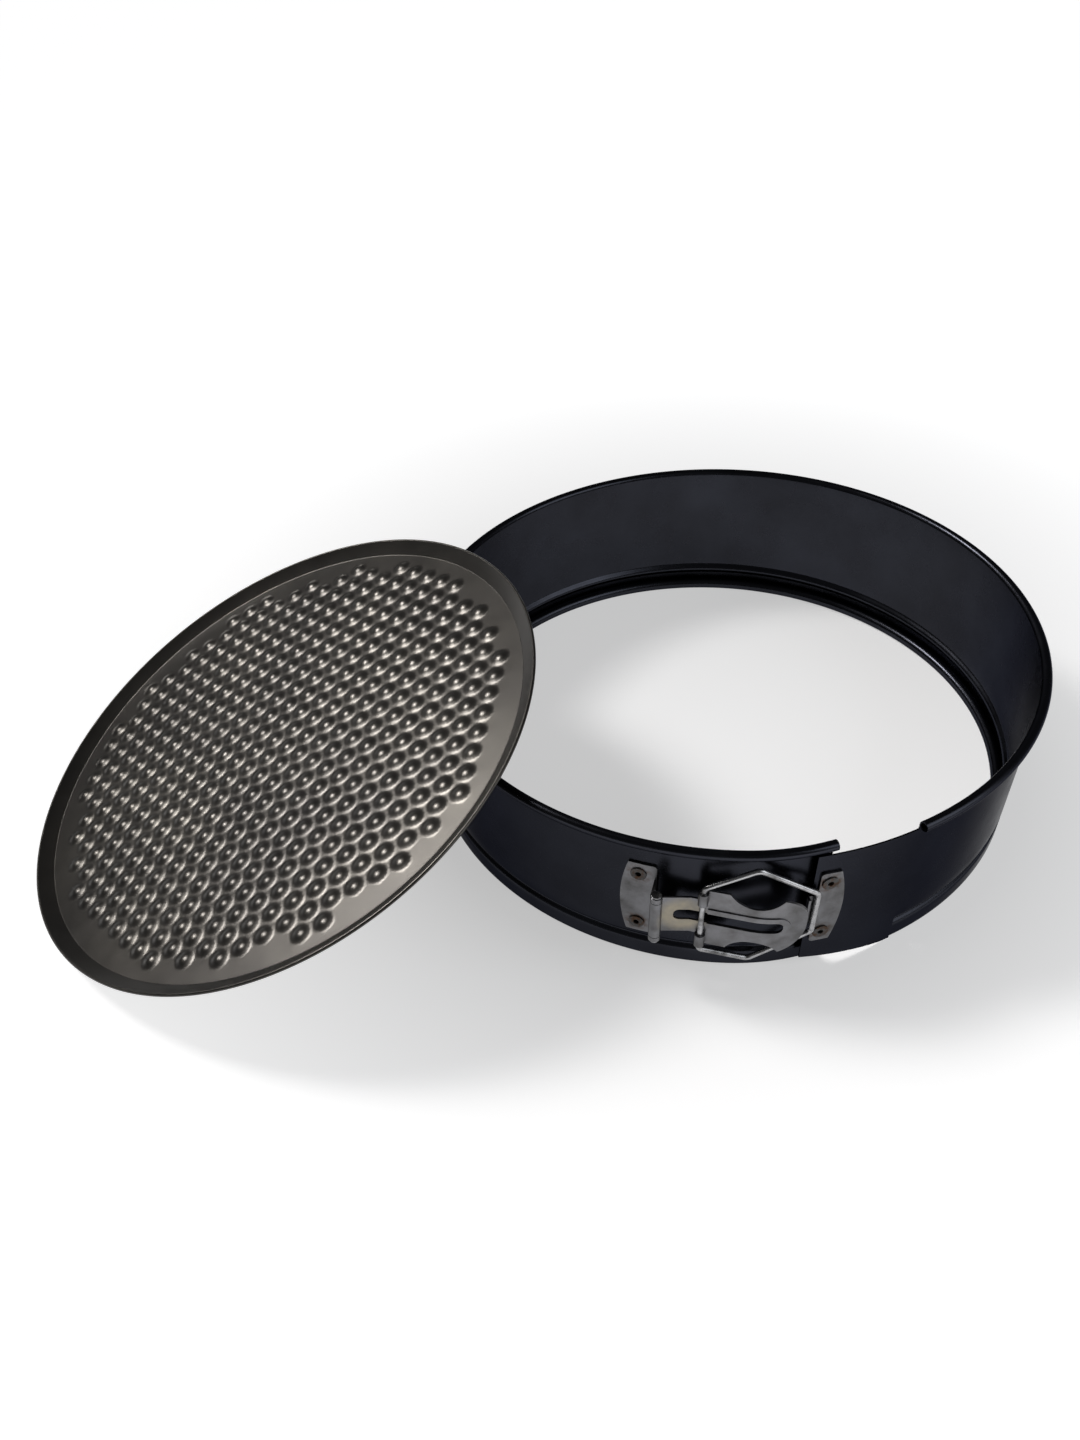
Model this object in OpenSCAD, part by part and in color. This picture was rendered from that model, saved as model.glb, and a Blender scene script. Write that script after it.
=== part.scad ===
// Springform pan: a coated steel ring with a toggle latch, standing open, and its loose dimpled base.
// Sizes are in mm. The ring's axis is Z, the table is z = 0 and the latch faces -Y.
// The base leans on the ring from the left, with its foot on the table.

/* [Ring] */
// Inside diameter of the ring when the latch is closed
pan_d = 262; // [240:2:290]
// Height of the ring over its rolled rim
pan_h = 72.5; // [70:0.5:84]
// Length by which the open latch lets the ring spring open, measured along the wall
ring_opening = 34; // [30:0.5:36]
// Thickness of the coated steel strip
strip_t = 0.7; // [0.5:0.05:0.9]
// Outer radius of the rim, which is rolled outwards
rim_roll_r = 2.2; // [1.9:0.1:2.6]
// Outer radius of the foot, which is rolled inwards and carries the base
foot_roll_r = 2.9; // [2.5:0.1:3.3]
// Height of the pressed bead that holds the base down
bead_z = 11.6; // [11.2:0.1:13]
// Outer radius of the pressed bead
bead_r = 2.5; // [2.1:0.1:2.7]
// How far the inner end of the strip is tucked in at its tip
tuck = 1.4; // [1.2:0.1:2]
// How far the outer end of the strip stands out at its tip
flare = 1.9; // [1.7:0.1:2.4]

/* [Base] */
// Thickness of the base sheet
base_t = 0.8; // [0.6:0.05:1]
// Gap between the edge of the base and the closed ring
base_gap = 0.6; // [0.4:0.1:1.5]
// Height of the sloping edge of the base
edge_h = 4.3; // [3.5:0.1:5]
// Width of the sloping edge of the base
edge_w = 7; // [6:0.5:9]
// Radius of the hem at the outer edge of the base
hem_r = 0.8; // [0.6:0.05:0.9]
// Distance between neighbouring bumps
bump_pitch = 10.5; // [9.7:0.1:14]
// Angle of the rows of bumps
bump_turn = 4.5; // [0:0.5:30]
// Diameter of a bump
bump_d = 7.4; // [6.4:0.2:8]
// Height of a bump over the floor of the base
bump_h = 1.5; // [1.2:0.1:1.7]
// Width of the smooth band between the bumps and the sloping edge
smooth_w = 5.2; // [4.6:0.1:14]
// Angle at which the base leans
lean_tilt = 21.5; // [19:0.5:24]
// Direction from the ring's axis to the leaning base, measured from the -X axis towards -Y
lean_turn = 15; // [10:1:20]

/* [Latch] */
// Height of the middle of the latch over the table
latch_z = 37.5; // [36.5:0.5:40]
// Thickness of the latch sheet
latch_t = 0.9; // [0.8:0.05:1]
// Distance of the hinge axis from the wall of the ring
hinge_out = 8.9; // [8.5:0.1:10]
// Place of the hinge axis along the wall, from the middle of the latch
hinge_arc = -29.9; // [-31:0.1:-29]
// Radius of the hinge pin
pin_r = 1.5; // [1.3:0.05:1.6]
// Distance from the hinge axis to the bar of the wire loop
crank = 18; // [17:0.25:18.5]
// Angle by which the closed lever leans towards the wall
closed_lean = 5; // [3:0.5:7]
// How far the lever's handle lies nearer the wall than its barrel
handle_in = 3.2; // [2.6:0.1:3.6]
// Length of the lever from the hinge axis to its tip
lever_len = 57.5; // [55:0.5:59]
// Radius of the bend towards the lever's tip
lever_bend_r = 34; // [32:1:40]
// Radius of the wire
wire_r = 1.15; // [1:0.05:1.25]
// Height of the wire loop's apex over the middle of the latch
loop_peak = 27; // [25:0.25:27.5]
// Half the length of the bar that turns in the lever's eyes
loop_near = 18.6; // [18.2:0.1:20]
// Half the length of the bar that lies in the keeper's hook
loop_far = 11.5; // [11:0.1:13]
// Place of the loop's far bar along the wall, from the middle of the latch
hook_arc = 30; // [29.5:0.1:31]
// Length of a hinge or keeper bracket, along the height of the ring
bracket_h = 41; // [40:0.5:44]
// Height of each rivet over or under the middle of the latch
rivet_z = 14.8; // [14.4:0.1:15.5]

/* [Hidden] */
$fn = 96;

// Clearances: bodies that stand apart, a running fit, and a piece riveted to the strip's moving end
apart = 0.3;
run_fit = 0.05;
seat_gap = 0.1;

// Ring: wall, rolled rim, and rolled foot with a narrow flat to stand on
wall_ri = pan_d / 2 + ring_opening / (2 * PI);
wall_ro = wall_ri + strip_t;
rim_c = wall_ri + rim_roll_r;
rim_z = pan_h - rim_roll_r;
foot_flat = 0.2;
foot_c = wall_ro - foot_roll_r;
foot_z = foot_roll_r - foot_flat;
bead_open = bead_r - strip_t;
// Angle that a rolled edge leaves open, and where its gap starts after the wall
roll_gap = 40;
roll_start = 2;

// Angle on the ring of a place given by its length along the wall from the middle of the latch
function at(arc) = -90 + arc / wall_ro * 180 / PI;
hinge_a = at(hinge_arc);
hook_a = at(hook_arc);

// The outer end of the strip carries the keeper, and the inner end slides behind it when the ring closes
outer_past = 1.6;
inner_past = 5;
outer_end_a = at(hook_arc - outer_past);
inner_end_a = at(hook_arc + inner_past);
// Rim and foot of the outer end stop short, so that the rims of the closed ring just meet
rim_meet = 1.3;
outer_rim_a = inner_end_a + (ring_opening + rim_meet) / wall_ro * 180 / PI;
// The plain tip passes under the rim of the inner end, and its lower edge rises towards its end
tip_z0 = 0.6;
tip_z1 = rim_z - rim_roll_r - tip_z0;
tip_rise = 5;

// The strip is three arcs in line: the main arc from 0 to 270 degrees, the tucked inner end and the flared outer end
tuck_c = tuck / (1 - cos(inner_end_a + 90));
tuck_span = asin(wall_ri * sin(inner_end_a + 90) / (wall_ri - tuck_c));
flare_c = flare / (1 - cos(outer_end_a));
// The plain tip of the outer end is a hair thinner than the strip, and starts inside it
tip_inset = 0.02;
tip_root = 0.2;
// Distance from the ring's axis to a circle of the flared arc, and the angle of that point at the arc's own centre
function flared_r(r, a) = sqrt(pow(r + flare_c, 2) - pow(flare_c * sin(a), 2)) - flare_c * cos(a);
function flared_a(a) = atan2(flared_r(wall_ro, a) * sin(a), flared_r(wall_ro, a) * cos(a) + flare_c);

// Base: its edge, its bumps on rows of triangles, and where it stands
base_r = pan_d / 2 - base_gap;
floor_r = base_r - edge_w;
edge_a = atan2(edge_h, edge_w);
hem_c = base_r - hem_r;
dome_r = (bump_d * bump_d / 4 + bump_h * bump_h) / (2 * bump_h);
dome_z = base_t + bump_h - dome_r;
field_r = floor_r - smooth_w - bump_d / 2;
row_pitch = bump_pitch * sqrt(3) / 2;
rows = ceil(field_r / row_pitch);
columns = ceil(field_r / bump_pitch);
// It stands on the corner of its floor, and its underside lies over the rim
lean_run = (rim_z + (rim_roll_r + apart) / cos(lean_tilt)) / tan(lean_tilt);
base_x = floor_r * cos(lean_tilt) - rim_c - lean_run;
base_z = floor_r * sin(lean_tilt);

// Latch, in its own frame: origin on the hinge axis at mid height, x along the wall, y into the ring
hinge_r = wall_ro + hinge_out;
bore_r = pin_r + run_fit;
barrel_r = bore_r + latch_t;
neck_y = barrel_r - latch_t / 2;
neck_h = 20.6;
neck_a = 14;
handle_y = neck_y + handle_in;
bend_x = 36;
// Slot of the lever, with a pressed border on its outer side
slot_h = 6;
slot_x0 = 6.5;
slot_x1 = 49;
slot_corner = 2.5;
border_w = 2.6;
border_t = 0.5;
// Wide part of the lever, and the round scoops that make its waist
wide_h = 32.4;
waist_h = 20;
scoop_r = 12;
scoop_x = 38.3;
tip_corner = 14;
// Eyes that hold the loop's near bar
eye_bore_r = wire_r + run_fit;
eye_r = eye_bore_r + latch_t;
eye_z0 = 9.3;
eye_h = 6.6;
bar_y = handle_y - eye_bore_r - latch_t / 2;
bar_x = sqrt(crank * crank - bar_y * bar_y);
bar_a = atan2(bar_y, bar_x);
// Ears of the hinge bracket, over and under the lever's barrel
ear_z0 = neck_h / 2 + apart;
ear_h = 2.4;
fin_h = 3.4;
pin_head_h = 0.8;
pin_head_r = pin_r + 0.5;

// Brackets and hollow rivets
hinge_plate_w = 14.6;
hinge_plate_arc = hinge_arc - barrel_r + latch_t - hinge_plate_w / 2;
keeper_plate_w = 11.2;
keeper_plate_in = 0.5;
keeper_plate_arc = hook_arc + keeper_plate_in + keeper_plate_w / 2;
plate_bulge = 3;
plate_corner = 1.5;
plate_span = 40;
rivet_r = 1.9;
rivet_bore_r = 1.2;
rivet_head_r = 3.3;
rivet_head_t = 0.6;
keeper_rivet_in = 4.6;
keeper_rivet_arc = hook_arc + keeper_rivet_in;

// Keeper hook: a tongue under the loop's far bar, with a lip on its hinge side
keeper_r = flared_r(wall_ro + seat_gap, hook_a);
keeper_own_r = wall_ro + flare_c + seat_gap;
hook_r = keeper_r + latch_t + apart + wire_r;
hook_slack = 1.4;
lip_over = 0.3;
lip_root = 0.3;
tongue_h = 17;
lip_h = tongue_h - 1;
lip_x = wire_r + hook_slack + latch_t;

// Linkage, open and closed: the loop spans from the lever's eyes to the hook
function from_ring(r, a) = [r * sin(a - hinge_a), hinge_r - r * cos(a - hinge_a)];
near_open = [bar_x, bar_y];
far_open = from_ring(hook_r, hook_a);
loop_v = far_open - near_open;
loop_len = norm(loop_v);
loop_a = atan2(loop_v[1], loop_v[0]);
lever_turn = 180 + bar_a + closed_lean;
near_closed = crank * [-cos(closed_lean), sin(closed_lean)];
// The closed far bar is where the hook's circle round the ring's axis meets the loop's circle round its near bar
axis_v = [0, hinge_r] - near_closed;
axis_u = axis_v / norm(axis_v);
along = (loop_len * loop_len - hook_r * hook_r + axis_v * axis_v) / (2 * norm(axis_v));
aside = sqrt(loop_len * loop_len - along * along);
far_closed = near_closed + along * axis_u + aside * [axis_u[1], -axis_u[0]];
shut_v = far_closed - near_closed;
loop_turn = lever_turn + atan2(shut_v[1], shut_v[0]) - loop_a;
keeper_turn = hook_a - hinge_a - atan2(far_closed[0], hinge_r - far_closed[1]);
echo(lever_turn = lever_turn, loop_turn = loop_turn, keeper_turn = keeper_turn);
echo(hinge_r = hinge_r, hinge_a = hinge_a, bar_x = bar_x, bar_y = bar_y, loop_len = loop_len, loop_a = loop_a);
echo(wall_ri = wall_ri, base_x = base_x, base_z = base_z, hook_r = hook_r, hook_a = hook_a);

// Loop: half of its middle line, from the near bar over the apex to the far bar, and the radius of each bend
loop_share = 0.46;
loop_bend_r = 2.5;
loop_peak_r = 3.5;
loop_pts = [[0, -loop_near], [0, loop_near], [loop_share * loop_len, loop_peak], [loop_len, loop_far],
    [loop_len, -loop_far]];
loop_bends = [loop_bend_r, loop_peak_r, loop_bend_r];
// The wire is a hair thicker in its bends, and the straight stretches end inside them
bend_swell = 0.03;
bend_root = 0.2;

// Shapes in a plane
module annulus(r_out, r_in) {
    difference() {
        circle(r_out);
        circle(r_in);
    }
}

module wedge(r, a0, span) {
    polygon([[0, 0], r * [cos(a0), sin(a0)], r * [cos(a0 + span / 2), sin(a0 + span / 2)],
        r * [cos(a0 + span), sin(a0 + span)]]);
}

module rounded_rect(w, h, r) {
    translate([r - w / 2, -h / 2]) square([w - 2 * r, h]);
    translate([-w / 2, r - h / 2]) square([w, h - 2 * r]);
    for (x = [-1, 1], y = [-1, 1]) translate([x * (w / 2 - r), y * (h / 2 - r)]) circle(r);
}

// Ring
module rim_profile() {
    translate([rim_c, rim_z]) difference() {
        annulus(rim_roll_r, rim_roll_r - strip_t);
        wedge(2 * rim_roll_r, 180 + roll_start, roll_gap);
    }
}

module foot_profile() {
    difference() {
        translate([foot_c, foot_z]) difference() {
            annulus(foot_roll_r, foot_roll_r - strip_t);
            wedge(2 * foot_roll_r, roll_start, roll_gap);
        }
        translate([0, -foot_roll_r]) square([wall_ro, foot_roll_r]);
    }
}

module bead_profile() {
    translate([wall_ro, bead_z]) intersection() {
        annulus(bead_r, bead_open);
        translate([-bead_r, -bead_r]) square([bead_r, 2 * bead_r]);
    }
}

module wall_profile(z0, z1, inset = 0) {
    translate([wall_ri + inset, z0]) square([strip_t - 2 * inset, z1 - z0]);
}

module strip_profile() {
    rim_profile();
    foot_profile();
    bead_profile();
    wall_profile(foot_z, bead_z - bead_open);
    wall_profile(bead_z + bead_open, rim_z);
}

// Frames on the wall: x points out of the ring, z up
module on_wall(arc) {
    rotate(at(arc)) translate([0, 0, latch_z]) children();
}

module on_flare(arc) {
    translate([-flare_c, 0, 0]) rotate(flared_a(at(arc))) translate([0, 0, latch_z]) children();
}

module main_arc() {
    rotate_extrude(angle = 270) strip_profile();
}

module tucked_end() {
    translate([0, -tuck_c, 0]) rotate(-90) rotate_extrude(angle = tuck_span) translate([-tuck_c, 0]) strip_profile();
}

// The flared arc runs clockwise, so it is drawn as a mirror image
module flared_end() {
    translate([-flare_c, 0, 0]) mirror([0, 1, 0]) {
        rotate_extrude(angle = -flared_a(outer_rim_a)) translate([flare_c, 0]) strip_profile();
        tip_a = -flared_a(outer_rim_a) - tip_root;
        span = -flared_a(outer_end_a) - tip_a;
        half = (wall_ro + flare_c) * sin(span / 2);
        difference() {
            rotate(tip_a) rotate_extrude(angle = span)
                translate([flare_c, 0]) wall_profile(tip_z0, tip_z1, tip_inset);
            rotate(tip_a + span / 2) rotate([90, 0, 90]) linear_extrude(2 * (wall_ro + flare_c))
                polygon([[-half, -tip_rise], [half + 1, -tip_rise], [half + 1, tip_z0 + tip_rise], [-half, 0]]);
        }
    }
}

module rivet_holes(r) {
    for (up = [-1, 1]) translate([0, 0, up * rivet_z]) rotate([0, 90, 0]) cylinder(h = 2 * wall_ro, r = r);
}

module side_band() color("#2b2c30") difference() {
    union() {
        main_arc();
        tucked_end();
        flared_end();
    }
    on_wall(hinge_plate_arc) rivet_holes(rivet_r);
    on_flare(keeper_rivet_arc) rivet_holes(rivet_r + seat_gap);
}

// Base
module base_profile() {
    polygon([[0, 0], [floor_r, 0], [hem_c, edge_h - hem_r * tan(edge_a)],
        [hem_c - base_t * sin(edge_a), edge_h - hem_r * tan(edge_a) + base_t * cos(edge_a)],
        [floor_r - base_t * tan(edge_a / 2), base_t], [0, base_t]]);
    translate([hem_c, edge_h]) circle(hem_r);
}

// Copies of a piece at the place of every bump
module bumps() {
    for (row = [-rows : rows], column = [-columns : columns]) {
        x = (column + (row % 2 == 0 ? 0 : 0.5)) * bump_pitch;
        y = (row + 0.5) * row_pitch;
        if (norm([x, y]) <= field_r) rotate(bump_turn) translate([x, y, 0]) children();
    }
}

// Top of a ball, rooted inside the sheet
module bump() {
    rotate_extrude() intersection() {
        translate([0, dome_z]) circle(dome_r);
        translate([0, base_t / 2]) square(dome_r);
    }
}

module base_flat() {
    difference() {
        union() {
            rotate_extrude() base_profile();
            bumps() bump();
        }
        bumps() translate([0, 0, dome_z]) sphere(dome_r - base_t);
    }
}

module base_plate() color("#6e6a66") rotate(lean_turn) translate([base_x, 0, base_z]) rotate([0, -lean_tilt, 0])
    base_flat();

// Brackets: a curved plate on a face of radius r, cut to an outline of width and height
module curved_plate(r) {
    intersection() {
        rotate(-plate_span / 2) rotate_extrude(angle = plate_span)
            translate([r, -bracket_h]) square([latch_t, 2 * bracket_h]);
        rotate([90, 0, 90]) linear_extrude(2 * r) children();
    }
}

// Outline of a bracket, with its bulging edge on the left
module d_outline(w) {
    bulge_r = (bracket_h * bracket_h / 4 + plate_bulge * plate_bulge) / (2 * plate_bulge);
    intersection() {
        rounded_rect(w, bracket_h, plate_corner);
        translate([bulge_r - w / 2, 0]) circle(bulge_r);
    }
}

module latch_frame() {
    rotate(hinge_a + 90) translate([0, -hinge_r, latch_z]) children();
}

// Ear of the hinge bracket: a standing web that ends in an eye round the pin
module ear() {
    difference() {
        union() {
            cylinder(h = ear_h, r = barrel_r);
            translate([-barrel_r, 0, 0]) cube([latch_t, hinge_out - latch_t / 2, ear_h]);
        }
        translate([0, 0, -ear_h]) cylinder(h = 3 * ear_h, r = pin_r);
    }
}

module hinge_bracket() color("#a9abae") difference() {
    union() {
        on_wall(hinge_plate_arc) curved_plate(wall_ro) d_outline(hinge_plate_w);
        latch_frame() {
            translate([0, 0, ear_z0]) ear();
            translate([0, 0, -ear_z0 - ear_h]) ear();
            fin_z = ear_z0 + ear_h;
            translate([-barrel_r, hinge_out - fin_h, -fin_z]) cube([latch_t, fin_h - latch_t / 2, 2 * fin_z]);
        }
    }
    on_wall(hinge_plate_arc) rivet_holes(rivet_r);
}

module hinge_pin() color("#b9bbbd") latch_frame() {
    pin_z = ear_z0 + ear_h + pin_head_h;
    translate([0, 0, -pin_z]) cylinder(h = 2 * pin_z, r = pin_r);
    for (up = [0, 1]) mirror([0, 0, up])
        translate([0, 0, ear_z0 + ear_h]) cylinder(h = pin_head_h, r = pin_head_r);
}

module keeper_bracket() color("#a9abae") difference() {
    union() {
        on_flare(keeper_plate_arc) curved_plate(keeper_own_r) {
            mirror([1, 0]) d_outline(keeper_plate_w);
            tongue_x = keeper_plate_arc - hook_arc + lip_x - latch_t / 2;
            translate([-tongue_x, -tongue_h / 2]) square([tongue_x, tongue_h]);
        }
        on_flare(hook_arc) translate([keeper_own_r + lip_root, -lip_x, -lip_h / 2])
            cube([hook_r - keeper_r + lip_over - lip_root, latch_t, lip_h]);
    }
    on_flare(keeper_rivet_arc) rivet_holes(rivet_r);
}

// Hollow rivet along x, with its outer head on a face of radius r and its inner head behind a stack of height t
module rivet(r, t, up) {
    translate([0, 0, up * rivet_z]) rotate([0, 90, 0]) rotate_extrude() {
        translate([rivet_bore_r, r - t]) square([rivet_r - rivet_bore_r, t]);
        for (z = [r, r - t - rivet_head_t])
            translate([rivet_bore_r, z]) square([rivet_head_r - rivet_bore_r, rivet_head_t]);
    }
}

module hinge_rivet(up) color("#8d8479") on_wall(hinge_plate_arc)
    rivet(wall_ro + latch_t, strip_t + latch_t + seat_gap, up);

module keeper_rivet(up) color("#8d8479") on_flare(keeper_rivet_arc)
    rivet(keeper_own_r + latch_t, strip_t + latch_t + 2 * seat_gap, up);

module rivet_hinge_upper() hinge_rivet(1);
module rivet_hinge_lower() hinge_rivet(-1);
module rivet_keeper_upper() keeper_rivet(1);
module rivet_keeper_lower() keeper_rivet(-1);

// Lever: a bent strip seen from above, with its front and back at given distances from its middle line
module lever_plan(front, back) {
    across = [-sin(neck_a), cos(neck_a)];
    start = neck_y * across;
    mitre = [-tan(neck_a / 2), 1];
    bend = [start[0] + (handle_y - start[1]) / tan(neck_a), handle_y];
    handle_end = [bend_x, handle_y];
    polygon([start - front * across, bend - front * mitre, handle_end - [0, front], handle_end + [0, back],
        bend + back * mitre, start + back * across]);
    translate([bend_x, handle_y + lever_bend_r]) intersection() {
        annulus(lever_bend_r + front, lever_bend_r - back);
        translate([0, -2 * lever_bend_r]) square(2 * lever_bend_r);
    }
}

// Outlines of the lever's slot and of the whole lever, seen from the front
module slot_outline(margin) {
    translate([(slot_x0 + slot_x1) / 2, 0])
        rounded_rect(slot_x1 - slot_x0 + 2 * margin, slot_h + 2 * margin, slot_corner + margin);
}

module lever_outline() {
    difference() {
        union() {
            translate([0, -neck_h / 2]) square([scoop_x, neck_h]);
            wide_w = lever_len - bar_x;
            intersection() {
                translate([bar_x, -wide_h / 2]) square([wide_w, wide_h]);
                translate([lever_len - wide_w, 0]) rounded_rect(2 * wide_w, wide_h, tip_corner);
            }
        }
        for (up = [-1, 1]) translate([scoop_x, up * (waist_h / 2 + scoop_r)]) circle(scoop_r);
        slot_outline(0);
    }
}

// A sheet bent like the lever and cut to an outline
module lever_sheet(front, back) {
    intersection() {
        translate([0, 0, -wide_h]) linear_extrude(2 * wide_h) lever_plan(front, back);
        translate([0, 2 * lever_bend_r, 0]) rotate([90, 0, 0]) linear_extrude(4 * lever_bend_r) children();
    }
}

module latch_lever() color("#b3b5b8") latch_frame() difference() {
    union() {
        lever_sheet(latch_t / 2, latch_t / 2) lever_outline();
        lever_sheet(latch_t / 2 + border_t, 0) difference() {
            slot_outline(border_w);
            slot_outline(0);
            translate([-bar_x, -wide_h]) square([2 * bar_x + eye_r, 2 * wide_h]);
        }
        translate([0, 0, -neck_h / 2]) cylinder(h = neck_h, r = barrel_r);
        for (z = [eye_z0, -eye_z0 - eye_h]) translate([bar_x, bar_y, z]) cylinder(h = eye_h, r = eye_r);
    }
    translate([0, 0, -neck_h]) cylinder(h = 2 * neck_h, r = bore_r);
    translate([bar_x, bar_y, -wide_h]) cylinder(h = 2 * wide_h, r = eye_bore_r);
}

// Way from a corner of the loop's middle line to the next, the bend at a corner, and how far the bend reaches
function heading(i) = let (d = loop_pts[i + 1] - loop_pts[i]) atan2(d[1], d[0]);
function bend_a(i) = heading(i - 1) - heading(i);
function reach(i) = loop_bends[i - 1] * tan(bend_a(i) / 2);

// Straight wire from corner i towards the next, between the given distances from the two corners
module wire_side(i, from_here, from_next) {
    length = norm(loop_pts[i + 1] - loop_pts[i]) - from_here - from_next + 2 * bend_root;
    translate(loop_pts[i]) rotate(heading(i)) translate([from_here - bend_root, 0, 0])
        rotate([0, 90, 0]) cylinder(h = length, r = wire_r);
}

// Bend of the wire at a corner, to the right of the way it runs
module wire_bend(i) {
    r = loop_bends[i - 1];
    translate(loop_pts[i]) rotate(heading(i - 1)) translate([-reach(i), -r, 0]) rotate(90 - bend_a(i))
        rotate_extrude(angle = bend_a(i)) translate([r, 0]) circle(wire_r + bend_swell);
}

module wire_loop() color("#c2c4c6") latch_frame() translate([bar_x, bar_y, 0]) rotate(loop_a) rotate([90, 0, 0]) {
    wire_side(0, reach(1), reach(1));
    wire_side(3, reach(3), reach(3));
    for (down = [0, 1]) mirror([0, down, 0]) {
        wire_side(1, reach(1), reach(2));
        wire_side(2, reach(2), reach(3));
        for (i = [1 : 3]) wire_bend(i);
    }
}

side_band();
base_plate();
hinge_bracket();
hinge_pin();
latch_lever();
wire_loop();
keeper_bracket();
rivet_hinge_upper();
rivet_hinge_lower();
rivet_keeper_upper();
rivet_keeper_lower();
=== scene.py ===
import math

import bpy
import numpy as np
from mathutils import Matrix


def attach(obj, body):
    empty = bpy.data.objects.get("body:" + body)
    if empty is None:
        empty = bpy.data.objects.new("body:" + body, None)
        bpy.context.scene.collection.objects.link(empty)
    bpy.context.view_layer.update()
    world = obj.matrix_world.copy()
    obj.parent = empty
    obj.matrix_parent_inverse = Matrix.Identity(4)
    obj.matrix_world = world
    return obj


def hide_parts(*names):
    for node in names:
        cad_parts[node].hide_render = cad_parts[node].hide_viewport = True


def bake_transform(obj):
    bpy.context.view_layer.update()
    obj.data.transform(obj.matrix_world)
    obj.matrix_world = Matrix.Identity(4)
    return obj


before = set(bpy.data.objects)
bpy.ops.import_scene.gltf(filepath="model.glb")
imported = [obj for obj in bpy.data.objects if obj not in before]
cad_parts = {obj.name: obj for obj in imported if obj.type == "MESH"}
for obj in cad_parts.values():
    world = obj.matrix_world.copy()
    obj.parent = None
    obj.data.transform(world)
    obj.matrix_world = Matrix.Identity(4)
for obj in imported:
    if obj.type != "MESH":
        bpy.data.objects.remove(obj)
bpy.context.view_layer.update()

bl_info = {
    "name": "Springform pan",
    "version": (1, 0, 0),
    "blender": (4, 5, 0),
    "location": "View3D > Sidebar > Pan",
    "description": "Dresses an open springform ring, its latch and the loose dimpled base that leans on it",
    "category": "Object",
}

MM = 0.001
WHITE = (1, 1, 1, 1)

# Edges that turn by less than this are shaded smooth and get no bevel
SMOOTH_BELOW = math.radians(32)

# Points along the curves of the ring: its rolls, the wall round its bead, its arcs and its plain tip
ROLL_POINTS = 44
UNDER_BEAD_POINTS = 5
BEAD_POINTS = 19
OVER_BEAD_POINTS = 14
HALF_POINTS = 181
TUCKED_POINTS = 24
QUARTER_POINTS = 91
FLARED_POINTS = 70
TIP_HEIGHT_POINTS = 16
TIP_LENGTH_POINTS = 30

# Points of the base: round a bump, circles from its middle outwards on either side, and over the edge
BUMP_AROUND = 12
RINGS_ABOVE = 4
RINGS_BELOW = 2
MARGIN_POINTS = 5
EDGE_BEND_POINTS = 6
HEM_POINTS = 14

# Radius of the outermost circle of a bump's cell, as a share of the pitch: just inside the cell's border
CELL_REACH = 0.485
# Share of a bump's ball past which its surface isn't followed any more
BALL_REACH = 0.95
# Distance from the outermost corner of the bump field to the first circle of the smooth band
FIELD_MARGIN = 0.3 * MM
# Angle from the middle of the hem's roll to each of its ends
HEM_HALF_TURN = 0.58 * np.pi

# Decimals of a metre to which joined points agree, in the bump field and in a node of the solid model
CELL_DIGITS = 6
NODE_DIGITS = 7

# Worn edges of the latch: widths in millimetres on its sheets and small pieces, and segments of the bevel
SHEET_EDGE = 0.2
SMALL_EDGE = 0.15
NO_EDGE = 0
EDGE_SEGMENTS = 2

# Nodes of the latch that get softened copies: new name, body, finish and width of the worn edge
LATCH = {
    "latch_lever": ("lever_sheet", "lever", "zinc", SHEET_EDGE),
    "hinge_bracket": ("hinge_sheet", "band", "zinc", SHEET_EDGE),
    "keeper_bracket": ("keeper_sheet", "keeper_end", "zinc", SHEET_EDGE),
    "wire_loop": ("loop_wire", "loop", "wire", NO_EDGE),
    "hinge_pin": ("pin_wire", "band", "wire", SMALL_EDGE),
    "rivet_hinge_upper": ("hinge_rivet_upper", "band", "rivet", SMALL_EDGE),
    "rivet_hinge_lower": ("hinge_rivet_lower", "band", "rivet", SMALL_EDGE),
    "rivet_keeper_upper": ("keeper_rivet_upper", "keeper_end", "rivet", SMALL_EDGE),
    "rivet_keeper_lower": ("keeper_rivet_lower", "keeper_end", "rivet", SMALL_EDGE),
}

# Stains of the plating: distances from a rivet and from the lever's neck at which they start to fade and at
# which they end, and the neck's place as a share of the way from the pin to the lever's middle
RUST_REACH = (3 * MM, 6 * MM)
NECK_REACH = (7 * MM, 11 * MM)
NECK_SHARE = 0.4

# Soft lights: place, target and side in millimetres, power in watts, colour, and spread in degrees
LIGHTS = {
    "key": {
        "place": (-952, 345, 1095),
        "target": (60, -150, 30),
        "side": 520,
        "power": 0.92,
        "shade": (1.0, 0.98, 0.95),
        "spread": 28,
    },
    "fill": {
        "place": (1000, -500, 700),
        "target": (-60, 0, 30),
        "side": 900,
        "power": 5,
        "shade": (0.94, 0.97, 1.0),
        "spread": 180,
    },
}


def size(title, words, mm):
    """A length that a user may change, given in millimetres."""
    metres = mm * MM
    return bpy.props.FloatProperty(name=title, description=words, default=metres, unit="LENGTH", precision=5)


def angle(title, words, degrees):
    """An angle that a user may change, given in degrees."""
    turn = math.radians(degrees)
    return bpy.props.FloatProperty(name=title, description=words, default=turn, subtype="ANGLE")


def number(title, words, value):
    """A plain number that a user may change."""
    return bpy.props.FloatProperty(name=title, description=words, default=value)


def colour(title, words, value):
    """A linear colour that a user may change."""
    return bpy.props.FloatVectorProperty(
        name=title, description=words, default=value, size=3, subtype="COLOR", min=0, max=1)


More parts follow.
